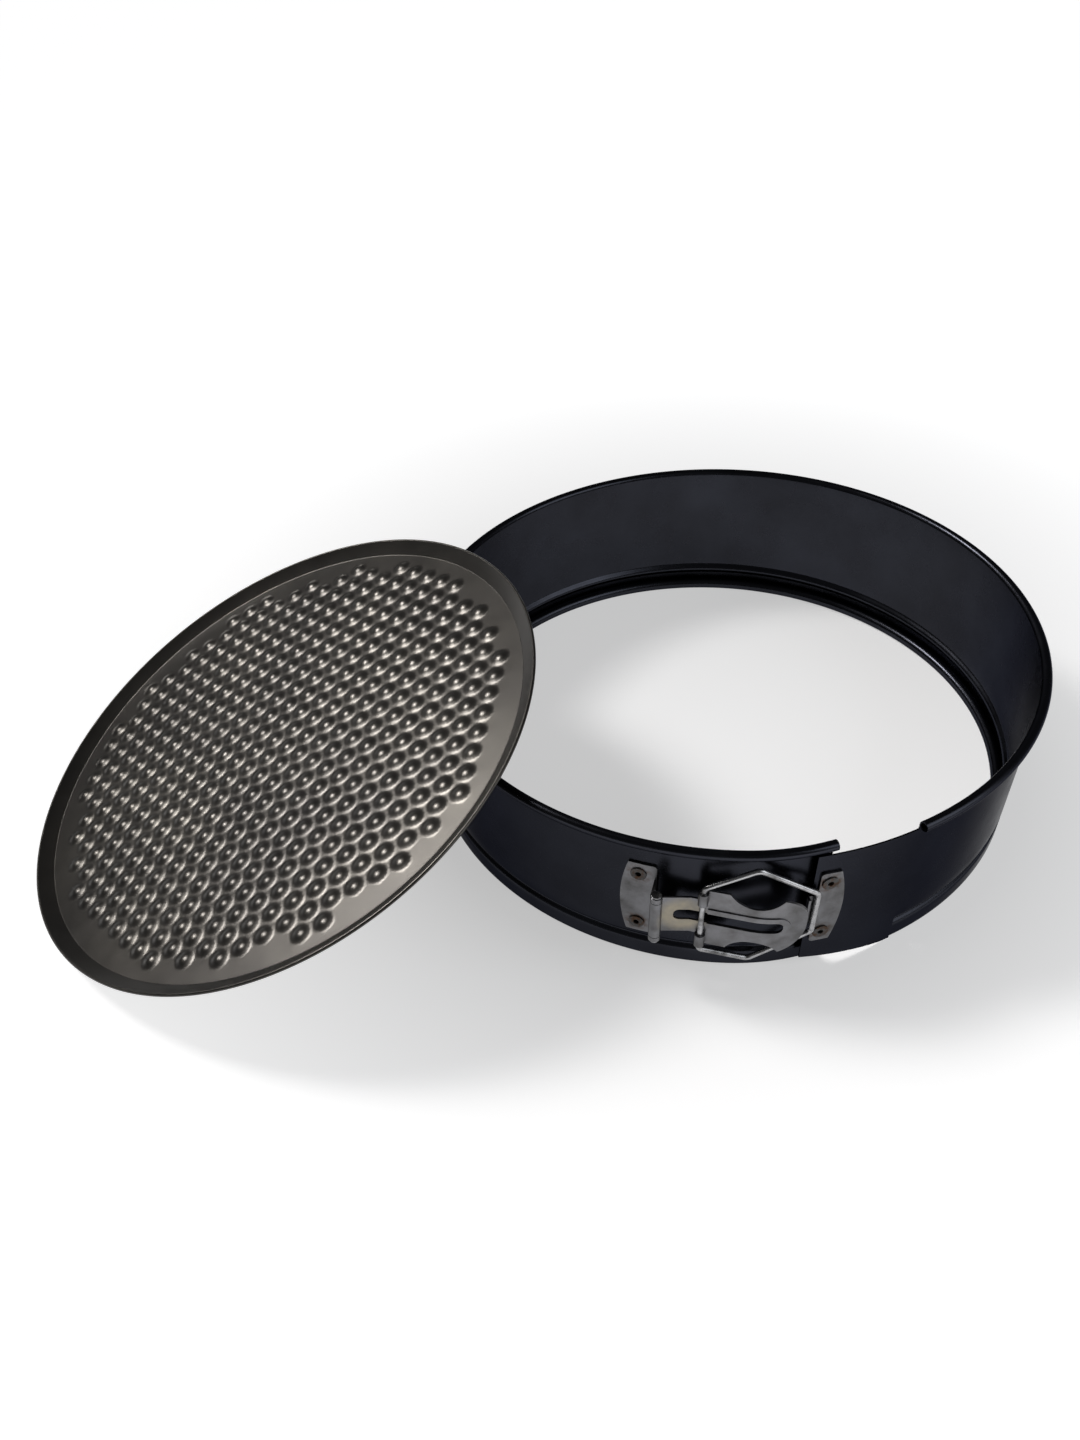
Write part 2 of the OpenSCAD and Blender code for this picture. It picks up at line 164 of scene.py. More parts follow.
class PanRingSizes(bpy.types.PropertyGroup):
    """Sizes of the strip that makes the ring."""
    wall_ri: size("Wall radius", "Inside radius of the open ring", 136.411)
    strip_t: size("Strip thickness", "Thickness of the coated strip", 0.7)
    height: size("Height", "Height of the ring over its rim", 72.5)
    rim_r: size("Rim roll", "Outer radius of the rim, rolled outwards", 2.2)
    foot_r: size("Foot roll", "Outer radius of the foot, rolled inwards", 2.9)
    foot_flat: size("Foot flat", "How much of the foot's roll is pressed flat", 0.2)
    roll_gap: angle("Roll gap", "Angle that a rolled edge leaves open", 42)
    bead_z: size("Bead height", "Height of the middle of the pressed bead", 11.6)
    bead_depth: size("Bead depth", "How far the bead stands in from the wall", 1.8)
    bead_half: size("Bead half width", "Half the height of the bead", 3.1)
    tuck: size("Tuck", "How far the inner end is tucked in", 1.4)
    flare: size("Flare", "How far the outer end stands out", 1.9)
    inner_end: angle("Inner end", "Angle of the inner end of the strip", -75.374)
    outer_rim: angle("Outer rim end", "Angle at which the outer end's rim stops", -60.623)
    outer_end: angle("Outer end", "Angle of the outer end's tip", -78.132)
    tip_gap: size("Tip gap", "Gap of the plain tip under the rim and over the table", 0.6)
    tip_rise: size("Tip rise", "How far the lower edge of the plain tip rises to its end", 5.0)


class PanBaseSizes(bpy.types.PropertyGroup):
    """Sizes of the loose base."""
    radius: size("Radius", "Outer radius of the base", 130.4)
    sheet_t: size("Sheet", "Thickness of the sheet", 0.8)
    edge_h: size("Edge height", "Height of the sloping edge", 4.3)
    edge_w: size("Edge width", "Width of the sloping edge", 7.0)
    edge_bend: size("Edge bend", "Inner radius of the bend between floor and edge", 0.9)
    hem_r: size("Hem radius", "Radius of the hem", 0.8)
    pitch: size("Pitch", "Distance between neighbouring bumps", 10.5)
    row_turn: angle("Row turn", "Angle of the rows of bumps", 4.5)
    bump_d: size("Bump diameter", "Diameter of a bump's dome at the floor", 8.0)
    bump_h: size("Bump height", "Height of a bump", 1.35)
    bump_foot: size("Bump foot", "How softly a bump runs out into the floor", 0.3)
    field_r: size("Field radius", "Greatest distance of a bump's middle from the centre", 114.5)
    tilt: angle("Tilt", "Angle at which the base leans", 21.5)
    turn: angle("Turn", "Direction of the leaning base from the -X axis", 15)
    over_rim: size("Gap over the rim", "Gap between the base and the rim", 0.3)


class PanColours(bpy.types.PropertyGroup):
    """Colours of the finishes."""
    coating: colour("Coating", "Non-stick coating of the ring", (0.026, 0.027, 0.033))
    coating_sheen: colour("Coating sheen", "Lighter patches of the coating", (0.034, 0.036, 0.045))
    coating_glance: colour("Coating glance", "Tint of the coating seen at a flat angle", (0.42, 0.42, 0.43))
    base: colour("Base", "Metallic coating of the base", (0.050, 0.047, 0.045))
    base_light: colour("Base wear", "Lighter patches of the base", (0.080, 0.075, 0.068))
    zinc: colour("Zinc", "Plated latch sheet", (0.205, 0.205, 0.216))
    tarnish: colour("Tarnish", "Dull patches of the plating", (0.088, 0.086, 0.085))
    neck: colour("Neck", "Yellowed plating of the lever's neck", (0.36, 0.32, 0.24))
    wire: colour("Wire", "Plated wire and pin", (0.46, 0.46, 0.47))
    rust: colour("Rust", "Rust in and round the rivets", (0.075, 0.04, 0.022))
    floor: colour("Floor", "Table under the pan", (0.50, 0.50, 0.51))


class PanStageSettings(bpy.types.PropertyGroup):
    """Camera, table and sky."""
    lens: number("Lens", "Focal length in millimetres", 29.5255)
    sensor: number("Sensor", "Longer side of the picture on the sensor, in millimetres", 36)
    shift_x: number("Shift X", "Sideways shift of the picture, as a part of the sensor's height", 0.04206)
    shift_y: number("Shift Y", "Upward shift of the picture, as a part of the sensor's height", 0.05625)
    camera_x: size("Camera X", "Place of the camera along X", -52.12)
    camera_y: size("Camera Y", "Place of the camera along Y", -441.55)
    camera_z: size("Camera Z", "Height of the camera", 406.84)
    pan: angle("Pan", "Turn of the camera to the side", 15.348)
    pitch: angle("Pitch", "Downward tilt of the camera", 45.233)
    roll: angle("Roll", "Roll of the camera", -5.319)
    around: angle("Around", "Turn of the camera about the ring's axis", 6.732)
    nearest: size("Nearest", "Nearest distance that the camera sees", 10)
    farthest: size("Farthest", "Farthest distance that the camera sees", 50000)
    floor_half: size("Floor", "Half the side of the floor", 6000)
    floor_rough: number("Floor roughness", "Roughness of the table", 0.6)
    glow_near: number("Glow near", "Extra brightness of the floor near the pan, seen or mirrored", 0.49)
    glow_far: number("Glow far", "Extra brightness of the floor away from the pan", 0.95)
    glow_start: size("Glow start", "Distance from the ring's axis at which the glow starts to grow", 145)
    glow_end: size("Glow end", "Distance from the ring's axis at which the glow is full", 400)
    horizon: number("Horizon", "Strength of the sky at the horizon", 0.14)
    zenith: number("Zenith", "Strength of the sky overhead", 0.05)


# Meshes


def put_mesh(name, points, faces):
    """Makes a mesh object from points and a list of arrays of faces, each of one size, smooth between its
    sharp edges. The faces are turned round if the volume that they enclose comes out negative."""
    volume = 0.0
    for f in faces:
        p = points[f]
        for k in range(1, f.shape[1] - 1):
            volume += np.einsum("ij,ij->i", p[:, 0], np.cross(p[:, k], p[:, k + 1])).sum()
    way = -1 if volume < 0 else 1
    corners = np.concatenate([f[:, ::way].ravel() for f in faces])
    counts = np.concatenate([np.full(len(f), f.shape[1]) for f in faces])
    starts = np.concatenate([[0], np.cumsum(counts)[:-1]])
    mesh = bpy.data.meshes.new(name)
    mesh.vertices.add(len(points))
    mesh.vertices.foreach_set("co", points.astype(np.float32).ravel())
    mesh.loops.add(len(corners))
    mesh.loops.foreach_set("vertex_index", corners.astype(np.int32))
    mesh.polygons.add(len(counts))
    mesh.polygons.foreach_set("loop_start", starts.astype(np.int32))
    mesh.polygons.foreach_set("use_smooth", np.ones(len(counts), bool))
    mesh.update(calc_edges=True)
    mesh.validate()
    mesh.set_sharp_from_angle(angle=SMOOTH_BELOW)
    piece = bpy.data.objects.new(name, mesh)
    bpy.context.scene.collection.objects.link(piece)
    return piece


def dress(piece, material):
    """Gives a piece its material."""
    piece.data.materials.clear()
    piece.data.materials.append(material)


def arc(centre, r, a0, a1, count):
    """Points on a circle about a centre from angle a0 to a1."""
    a = np.linspace(a0, a1, count)
    return np.stack([centre[0] + r * np.cos(a), centre[1] + r * np.sin(a)], 1)


# The ring


def strip_line(ring):
    """Middle line of the strip as (radius, height): the foot's roll, the wall with its bead, and the rim's
    roll. The bead is a squared cosine across the wall."""
    mid = ring.wall_ri + ring.strip_t / 2
    foot = (ring.wall_ri + ring.strip_t - ring.foot_r, ring.foot_r - ring.foot_flat)
    rim = (ring.wall_ri + ring.rim_r, ring.height - ring.rim_r)
    foot_roll = arc(foot, ring.foot_r - ring.strip_t / 2, ring.roll_gap, 2 * np.pi, ROLL_POINTS)
    rim_roll = arc(rim, ring.rim_r - ring.strip_t / 2, np.pi, ring.roll_gap - np.pi, ROLL_POINTS)
    low = ring.bead_z - ring.bead_half
    high = ring.bead_z + ring.bead_half
    under = np.linspace(foot[1], low, UNDER_BEAD_POINTS)
    bead = np.linspace(low, high, BEAD_POINTS)
    over = np.linspace(high, rim[1], OVER_BEAD_POINTS)
    z = np.concatenate([under[1:-1], bead, over[1:-1]])
    wave = np.cos(np.pi / 2 * np.clip((z - ring.bead_z) / ring.bead_half, -1, 1)) ** 2
    wall = np.stack([mid - ring.bead_depth * wave, z], 1)
    return np.concatenate([foot_roll, wall, rim_roll])


def thicken(line, t):
    """Closed outline at half a thickness on both sides of a line: out along its right side and back along
    its left. What would lie under the table is pressed flat."""
    d = np.gradient(line, axis=0)
    d = d / np.linalg.norm(d, axis=1, keepdims=True)
    across = np.stack([d[:, 1], -d[:, 0]], 1) * t / 2
    loop = np.concatenate([line + across, (line - across)[::-1]])
    loop[:, 1] = np.maximum(loop[:, 1], 0)
    return loop


def path(centre, shift, a0, a1, count):
    """Steps along one arc of the strip from angle a0 to a1. Each holds the arc's centre, how much larger its
    radius is than the ring's, and the angle."""
    a = np.linspace(a0, a1, count)
    return np.stack([np.full(count, centre[0]), np.full(count, centre[1]), np.full(count, shift), a], 1)


def carry(loop, steps):
    """Carries an outline of (radius, height) along a path, as points on a grid of steps by outline."""
    r = loop[None, :, 0] + steps[:, None, 2]
    x = steps[:, None, 0] + r * np.cos(steps[:, None, 3])
    y = steps[:, None, 1] + r * np.sin(steps[:, None, 3])
    z = np.broadcast_to(loop[None, :, 1], x.shape)
    return np.stack([x, y, z], 2)


def tube_faces(rows, columns, start=0):
    """Quads of a grid whose columns close on themselves, and of its ends across the strip's thickness."""
    i, j = np.meshgrid(np.arange(rows - 1), np.arange(columns), indexing="ij")
    k = (j + 1) % columns
    here = i * columns
    there = (i + 1) * columns
    side = np.stack([here + j, here + k, there + k, there + j], 2).reshape(-1, 4)
    m = np.arange(columns // 2 - 1)
    cap = np.stack([m, columns - 1 - m, columns - 2 - m, m + 1], 1)
    ends = np.concatenate([cap, cap[:, ::-1] + (rows - 1) * columns])
    return [side + start, ends + start]


def fixed_path(ring):
    """Path of the fixed part: half a circle from the back of the ring to the latch, and the tucked arc of
    the inner end, a smaller circle that touches the first from inside."""
    back = np.pi / 2
    c = ring.tuck / (1 - np.cos(ring.inner_end + back))
    span = np.arcsin(ring.wall_ri * np.sin(ring.inner_end + back) / (ring.wall_ri - c))
    half = path((0, 0), 0, back, 3 * back, HALF_POINTS)
    tucked = path((0, -c), -c, 3 * back, 3 * back + span, TUCKED_POINTS)
    return np.concatenate([half[:-1], tucked])


def flare_centre(ring):
    """How far the centre of the flared arc of the outer end stands back from the ring's axis."""
    return ring.flare / (1 - np.cos(ring.outer_end))


def flare_angle(ring, a):
    """Angle, at the centre of the flared arc, of the place on it that stands at angle a of the ring."""
    c = flare_centre(ring)
    r = np.sqrt((ring.wall_ri + ring.strip_t + c) ** 2 - (c * np.sin(a)) ** 2) - c * np.cos(a)
    return np.arctan2(r * np.sin(a), r * np.cos(a) + c)


def moving_path(ring):
    """Path of the bending part: a quarter circle from the back of the ring to its right, and the flared arc,
    a larger circle that touches the first from outside, as far as the outer end has its rim."""
    c = flare_centre(ring)
    quarter = path((0, 0), 0, np.pi / 2, 0, QUARTER_POINTS)
    flared = path((-c, 0), c, 0, flare_angle(ring, ring.outer_rim), FLARED_POINTS)
    return np.concatenate([quarter[:-1], flared])


def tip_grid(ring):
    """Plain tip of the outer end, on a grid of steps by outline. Its lower edge rises in a straight line."""
    c = flare_centre(ring)
    low = ring.tip_gap
    top = ring.height - 2 * ring.rim_r - ring.tip_gap
    z = np.linspace(low, top, TIP_HEIGHT_POINTS)
    loop = thicken(np.stack([np.full(len(z), ring.wall_ri + ring.strip_t / 2), z], 1), ring.strip_t)
    a0 = flare_angle(ring, ring.outer_rim)
    a1 = flare_angle(ring, ring.outer_end)
    grid = carry(loop, path((-c, 0), c, a0, a1, TIP_LENGTH_POINTS))
    rise = np.maximum((low + ring.tip_rise) * np.linspace(0, 1, len(grid)) - low, 0)[:, None]
    grid[:, :, 2] += rise * (top - grid[:, :, 2]) / (top - low)
    return grid


class PAN_OT_ring(bpy.types.Operator):
    """Makes the strip of the ring as two pieces: one fixed on the band, and one for the part that bends with
    the strip's end when the ring closes; this piece is not joined to any body.
    """
    bl_idname = "pan.ring"
    bl_label = "Ring"

    def execute(self, context):
        """Carries the strip's outline along both parts, and adds the plain tip to the bending one."""
        s = context.scene.pan_ring
        loop = thicken(strip_line(s), s.strip_t)
        coating = coating_material(context.scene.pan_colours)
        left = fixed_path(s)
        piece = put_mesh("band_fixed", carry(loop, left).reshape(-1, 3), tube_faces(len(left), len(loop)))
        dress(piece, coating)
        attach(piece, "band")
        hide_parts("side_band")
        right = moving_path(s)
        strip = carry(loop, right).reshape(-1, 3)
        tip = tip_grid(s)
        faces = tube_faces(len(right), len(loop)) + tube_faces(*tip.shape[:2], start=len(strip))
        piece = put_mesh("band_moving", np.concatenate([strip, tip.reshape(-1, 3)]), faces)
        dress(piece, coating)
        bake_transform(piece)
        return {"FINISHED"}


# The base


def bump_cell(base, rings, around):
    """Points and faces of one six-sided cell round a bump: its middle, circles about it, and the cell's
    border. The border has the same points as its neighbours' borders."""
    side = around // 6
    corner = np.pi / 6 + np.pi / 3 * np.arange(7)
    corners = base.pitch / np.sqrt(3) * np.stack([np.cos(corner), np.sin(corner)], 1)
    u = np.arange(side)[None, :, None] / side
    border = (corners[:-1, None] * (1 - u) + corners[1:, None] * u).reshape(-1, 2)
    way = border / np.linalg.norm(border, axis=1, keepdims=True)
    radii = np.linspace(0, CELL_REACH * base.pitch, rings + 1)[1:]
    circles = (radii[:, None, None] * way[None]).reshape(-1, 2)
    points = np.concatenate([np.zeros((1, 2)), circles, border])
    j = np.arange(around)
    k = (j + 1) % around
    fan = np.stack([np.zeros(around, int), 1 + j, 1 + k], 1)
    first = 1 + around * np.arange(rings)[:, None]
    quads = np.stack([first + j, first + around + j, first + around + k, first + k], 2).reshape(-1, 4)
    edge = 1 + around * rings + np.stack([j, k], 1)
    return points, fan, quads, edge


def dome(base, rho):
    """Height of a bump at a distance from its middle: the top of a ball over the floor, joined to the floor
    by a soft maximum, (c + sqrt(c c + e e)) / 2, of its height c over the floor."""
    ball = (base.bump_d ** 2 / 4 + base.bump_h ** 2) / (2 * base.bump_h)
    rho = np.minimum(rho, BALL_REACH * ball)
    c = np.sqrt(ball ** 2 - rho ** 2) - ball + base.bump_h
    return (c + np.sqrt(c ** 2 + base.bump_foot ** 2)) / 2


def bump_field(base, rings, around):
    """Cells on rows of triangles, joined at their borders: points with their heights, triangles, quads and
    outer edges."""
    row = base.pitch * np.sqrt(3) / 2
    n = int(np.ceil(base.field_r / row)) + 1
    j, i = np.meshgrid(np.arange(-n, n + 1), np.arange(-n, n + 1), indexing="ij")
    centres = np.stack([(i + 0.5 * (j % 2)) * base.pitch, (j + 0.5) * row], 2).reshape(-1, 2)
    centres = centres[np.linalg.norm(centres, axis=1) <= base.field_r]
    points, fan, quads, edge = bump_cell(base, rings, around)
    every = (centres[:, None] + points[None]).reshape(-1, 2)
    step = len(points) * np.arange(len(centres))[:, None, None]
    places = np.round(every, CELL_DIGITS)
    _, first, same = np.unique(places, axis=0, return_index=True, return_inverse=True)
    same = same.ravel()
    fans, squares, edges = [same[(f[None] + step).reshape(-1, f.shape[1])] for f in (fan, quads, edge)]
    count = len(first)
    outer = ~np.isin(edges[:, 0] * count + edges[:, 1], edges[:, 1] * count + edges[:, 0])
    height = np.tile(dome(base, np.linalg.norm(points, axis=1)), len(centres))[first]
    c, s = np.cos(base.row_turn), np.sin(base.row_turn)
    flat = every[first] @ np.array([[c, s], [-s, c]])
    return np.column_stack([flat, height]), fans, squares, edges[outer]


def edge_profile(base, field_edge):
    """Radius and height from the bump field over the sloping edge, round the hem, and back under to the
    field. The bend between floor and edge is a pair of arcs about one centre."""
    slope = np.arctan2(base.edge_h, base.edge_w)
    outer = base.edge_bend + base.sheet_t
    bend = (base.radius - base.edge_w - outer * np.tan(slope / 2), outer)
    hem = (base.radius - base.hem_r, base.edge_h)
    down = 1.5 * np.pi
    inside = arc(bend, base.edge_bend, down, down + slope, EDGE_BEND_POINTS)
    outside = arc(bend, outer, down, down + slope, EDGE_BEND_POINTS)
    roll = arc(hem, base.hem_r, slope + HEM_HALF_TURN, slope - HEM_HALF_TURN, HEM_POINTS)
    flat = np.linspace(field_edge, bend[0], MARGIN_POINTS)[:-1]
    top = np.stack([flat, np.full(len(flat), base.sheet_t)], 1)
    under = np.stack([flat, np.zeros(len(flat))], 1)
    return np.concatenate([top, inside, roll, outside[::-1], under[::-1]])


def in_order(points, edge):
    """Points on an outer edge, sorted by their places, so that both sides of the sheet pair up."""
    border = np.unique(edge)
    return border[np.lexsort(np.round(points[border, :2], CELL_DIGITS).T)]


def flat_base(base):
    """The base lying flat, as one closed sheet: the bump field on its upper and lower side, and from border
    to border the edge's profile, turned to the direction of each border point. Gives points, triangles and
    quads."""
    above, fans, squares, edge = bump_field(base, RINGS_ABOVE, BUMP_AROUND)
    below, low_fans, low_squares, low_edge = bump_field(base, RINGS_BELOW, BUMP_AROUND)
    above[:, 2] += base.sheet_t
    border = in_order(above, edge)
    low_border = in_order(below, low_edge)
    n = len(border)
    place = np.zeros(len(above), int)
    place[border] = np.arange(n)
    reach = np.linalg.norm(above[border, :2], axis=1)
    way = above[border, :2] / reach[:, None]
    profile = edge_profile(base, reach.max() + FIELD_MARGIN)
    rings = np.empty((len(profile), n, 3))
    rings[:, :, :2] = profile[:, None, :1] * way[None]
    rings[:, :, 2] = profile[:, 1:]
    under = len(above)
    start = under + len(below)
    last = start + n * (len(profile) - 1)
    a, b = place[edge[:, 0]], place[edge[:, 1]]
    level = start + n * np.arange(len(profile) - 1)[:, None]
    skirt = np.stack([level + a, level + n + a, level + n + b, level + b], 2).reshape(-1, 4)
    inner = np.stack([edge[:, 0], start + a, start + b, edge[:, 1]], 1)
    outer = np.stack([last + a, under + low_border[a], under + low_border[b], last + b], 1)
    points = np.concatenate([above, below, rings.reshape(-1, 3)])
    triangles = np.concatenate([fans, low_fans[:, ::-1] + under])
    quads = np.concatenate([squares, low_squares[:, ::-1] + under, inner, skirt, outer])
    return points, triangles, quads


def lean(base, ring, points):
    """Turns the flat base to where it stands: on the corner of its floor, its underside over the rim."""
    floor_r = base.radius - base.edge_w
    rim_c = ring.wall_ri + ring.rim_r
    rim_z = ring.height - ring.rim_r
    c, s = np.cos(base.tilt), np.sin(base.tilt)
    run = (rim_z + (ring.rim_r + base.over_rim) / c) * c / s
    x = c * points[:, 0] - s * points[:, 2] + floor_r * c - rim_c - run
    y = points[:, 1]
    z = s * points[:, 0] + c * points[:, 2] + floor_r * s
    c, s = np.cos(base.turn), np.sin(base.turn)
    return np.stack([c * x - s * y, s * x + c * y, z], 1)


class PAN_OT_base(bpy.types.Operator):
    """Makes the pressed base: a floor with bumps, the sloping edge and the hem, as one closed sheet."""
    bl_idname = "pan.base"
    bl_label = "Base"

    def execute(self, context):
        """Makes the base flat and leans it on the ring."""
        base = context.scene.pan_base
        points, triangles, quads = flat_base(base)
        points = lean(base, context.scene.pan_ring, points)
        piece = put_mesh("base_sheet", points, [triangles, quads])
        dress(piece, base_material(context.scene.pan_colours))
        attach(piece, "base")
        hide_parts("base_plate")
        return {"FINISHED"}


# Finishes


class Finish:
    """A node material with its shader, and ways to add textures to it in the piece's own coordinates."""

    def __init__(self, name, metallic):
        """Starts a material that is metal to a share from 0 to 1."""
        self.material = bpy.data.materials.new(name)
        self.material.use_nodes = True
        self.tree = self.material.node_tree
        self.shader = self.tree.nodes["Principled BSDF"]
        self.shader.inputs["Metallic"].default_value = metallic
        self.coords = self.tree.nodes.new("ShaderNodeTexCoord").outputs["Object"]

    def node(self, kind, values, links):
        """A node with some socket values and links, and its first output."""
        made = self.tree.nodes.new(kind)
        for key, value in values.items():
            made.inputs[key].default_value = value
        for key, source in links.items():
            self.tree.links.new(source, made.inputs[key])
        return made, made.outputs[0]

    def noise(self, scale, detail=4.0, rough=0.55):
        """Cloudy noise with a number of clouds to the metre."""
        values = {"Scale": scale, "Detail": detail, "Roughness": rough}
        return self.node("ShaderNodeTexNoise", values, {"Vector": self.coords})[1]

    def ramp(self, value, low, dark, high, light):
        """A colour that goes from dark to light as a value goes from low to high."""
        made, out = self.node("ShaderNodeValToRGB", {}, {"Fac": value})
        for element, place, shade in zip(made.color_ramp.elements, (low, high), (dark, light)):
            element.position = place
            element.color = (*shade, 1)
        return out

    def spread(self, value, low, high, start=0.3, end=0.7):
        """A number that goes from low to high as a value goes from start to end."""
        values = {"From Min": start, "From Max": end, "To Min": low, "To Max": high}
        return self.node("ShaderNodeMapRange", values, {"Value": value})[1]

    def near(self, places, inner, outer):
        """One close to any of some places and zero away from all of them."""
        nearest = None
        for place in places:
            made, _ = self.node("ShaderNodeVectorMath", {1: place}, {0: self.coords})
            made.operation = "DISTANCE"
            part = self.spread(made.outputs["Value"], 1, 0, inner, outer)
            nearest = part if nearest is None else self.both(nearest, part, "MAXIMUM")
        return nearest

    def both(self, a, b, operation):
        """Two values joined by an operation, such as their product or the larger of them."""
        made, out = self.node("ShaderNodeMath", {}, {0: a, 1: b})
        made.operation = operation
        return out

    def blend(self, amount, first, shade):
        """A first colour that gives way to a fixed shade by an amount."""
        made = self.tree.nodes.new("ShaderNodeMix")
        made.data_type = "RGBA"
        colours = [k for k in made.inputs if k.type == "RGBA"]
        self.tree.links.new(amount, made.inputs[0])
        self.tree.links.new(first, colours[0])
        colours[1].default_value = (*shade, 1)
        return [k for k in made.outputs if k.type == "RGBA"][0]

    def bump(self, value, depth, strength=0.5):
        """Roughens the surface by a value, to a depth in millimetres."""
        values = {"Strength": strength, "Distance": depth * MM}
        self.join(self.node("ShaderNodeBump", values, {"Height": value})[1], "Normal")

    def join(self, value, socket):
        """Links a value to a socket of the shader."""
        self.tree.links.new(value, self.shader.inputs[socket])


def coating_material(colours):
    """Dark satin non-stick coating: faint cloudy shade, uneven gloss and a fine grain."""
    look = Finish("non_stick_coating", metallic=1)
    clouds = look.noise(scale=24)
    shade = look.ramp(clouds, low=0.35, dark=colours.coating, high=0.7, light=colours.coating_sheen)
    look.join(shade, "Base Color")
    look.join(look.spread(look.noise(scale=60), low=0.22, high=0.30), "Roughness")
    look.bump(look.noise(scale=1800, detail=2), depth=0.02)
    look.shader.inputs["Specular Tint"].default_value = (*colours.coating_glance, 1)
    return look.material


def base_material(colours):
    """Dark metallic coating of the base: cloudy patches and a fine grain."""
    look = Finish("base_coating", metallic=0.9)
    clouds = look.noise(scale=16, detail=6)
    shade = look.ramp(clouds, low=0.3, dark=colours.base, high=0.75, light=colours.base_light)
    look.join(shade, "Base Color")
    look.join(look.spread(look.noise(scale=70), low=0.29, high=0.34), "Roughness")
    look.bump(look.noise(scale=1500, detail=2), depth=0.02)
    return look.material


def zinc_material(colours, rivets, neck):
    """Dull zinc plating with blotches of tarnish, yellow at the lever's neck and rusty round the rivets."""
    look = Finish("tarnished_zinc", metallic=1)
    blotches = look.noise(scale=110, detail=7, rough=0.6)
    plate = look.ramp(blotches, low=0.28, dark=colours.tarnish, high=0.6, light=colours.zinc)
    rust = look.spread(look.noise(scale=380, detail=4), low=0, high=1, start=0.42, end=0.62)
    rust = look.both(look.near(rivets, *RUST_REACH), rust, "MULTIPLY")
    yellow = look.spread(look.noise(scale=160, detail=3), low=0.4, high=1)
    yellow = look.both(look.near([neck], *NECK_REACH), yellow, "MULTIPLY")
    shade = look.blend(rust, look.blend(yellow, plate, colours.neck), colours.rust)
    look.join(shade, "Base Color")
    look.join(look.spread(look.noise(scale=220), low=0.28, high=0.46), "Roughness")
    look.bump(look.noise(scale=900, detail=4), depth=0.03)
    return look.material


def wire_material(colours):
    """Bright plated wire with dull patches."""
    look = Finish("plated_wire", metallic=1)
    patches = look.noise(scale=90, detail=3)
    look.join(look.ramp(patches, low=0.3, dark=colours.tarnish, high=0.5, light=colours.wire), "Base Color")
    look.join(look.spread(look.noise(scale=400), low=0.2, high=0.34), "Roughness")
    look.bump(look.noise(scale=500, detail=2), depth=0.01)
    return look.material


def rivet_material(colours):
    """Plated rivets with rust spots."""
    look = Finish("rusty_rivet", metallic=0.85)
    spots = look.noise(scale=420, detail=5)
    look.join(look.ramp(spots, low=0.4, dark=colours.rust, high=0.56, light=colours.tarnish), "Base Color")
    look.join(look.spread(look.noise(scale=500), low=0.4, high=0.65), "Roughness")
    look.bump(look.noise(scale=1100, detail=4), depth=0.04)
    return look.material


# The latch


def node_points(name):
    """Corners of the triangles of a node of the solid model, in the shared frame."""
    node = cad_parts[name]
    mesh = node.data
    points = np.empty(len(mesh.vertices) * 3, np.float32)
    mesh.vertices.foreach_get("co", points)
    corners = np.empty(len(mesh.loops), np.int32)
    mesh.loops.foreach_get("vertex_index", corners)
    turn = np.array(node.matrix_world)
    points = points.reshape(-1, 3).astype(float) @ turn[:3, :3].T + turn[:3, 3]
    return points, corners.reshape(-1, 3)


def softened(node, name, width):
    """A merged copy of a node's triangles, smooth over round faces, with a narrow bevel on sharp edges."""
    points, triangles = node_points(node)
    places = np.round(points, NODE_DIGITS)
    _, first, same = np.unique(places, axis=0, return_index=True, return_inverse=True)
    triangles = same.ravel()[triangles]
    a, b, c = triangles.T
    whole = (a != b) & (b != c) & (c != a)
    piece = put_mesh(name, points[first], [triangles[whole]])
    if width:
        bevel = piece.modifiers.new("edge", "BEVEL")
        bevel.width = width * MM
        bevel.segments = EDGE_SEGMENTS
        bevel.limit_method = "ANGLE"
        bevel.angle_limit = SMOOTH_BELOW
    return piece


class PAN_OT_latch(bpy.types.Operator):
    """Makes softened copies of the latch's lever, brackets, wire, pin and rivets, with their finishes."""
    bl_idname = "pan.latch"
    bl_label = "Latch"

    def execute(self, context):
        """Finds where the stains lie, and makes every piece of the latch."""
        colours = context.scene.pan_colours
        rivets = [node_points(node)[0].mean(0) for node in LATCH if node.startswith("rivet")]
        pin = node_points("hinge_pin")[0].mean(0)
        lever = node_points("latch_lever")[0].mean(0)
        neck = pin + NECK_SHARE * (lever - pin)
        materials = {
            "zinc": zinc_material(colours, rivets, neck),
            "wire": wire_material(colours),
            "rivet": rivet_material(colours),
        }
        for node, (name, body, kind, width) in LATCH.items():
            piece = softened(node, name, width)
            dress(piece, materials[kind])
            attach(piece, body)
            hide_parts(node)
        return {"FINISHED"}


# The stage


def floor_material(colours, stage):
    """Pale table. Rays from the camera, reflections and glass see it brighter away from the pan, where it
    fades to white."""
    look = Finish("pale_table", metallic=0)
    look.shader.inputs["Base Color"].default_value = (*colours.floor, 1)
    look.shader.inputs["Roughness"].default_value = stage.floor_rough
    look.shader.inputs["Emission Color"].default_value = WHITE
    rays = look.tree.nodes.new("ShaderNodeLightPath")
    seen = rays.outputs["Is Camera Ray"]
    for other in ("Is Glossy Ray", "Is Transmission Ray"):
        seen = look.both(seen, rays.outputs[other], "MAXIMUM")
    away, _ = look.node("ShaderNodeVectorMath", {}, {0: look.coords})
    away.operation = "LENGTH"
    distance = away.outputs["Value"]
    glow = look.spread(distance, stage.glow_near, stage.glow_far, stage.glow_start, stage.glow_end)
    look.join(look.both(seen, glow, "MULTIPLY"), "Emission Strength")
    return look.material


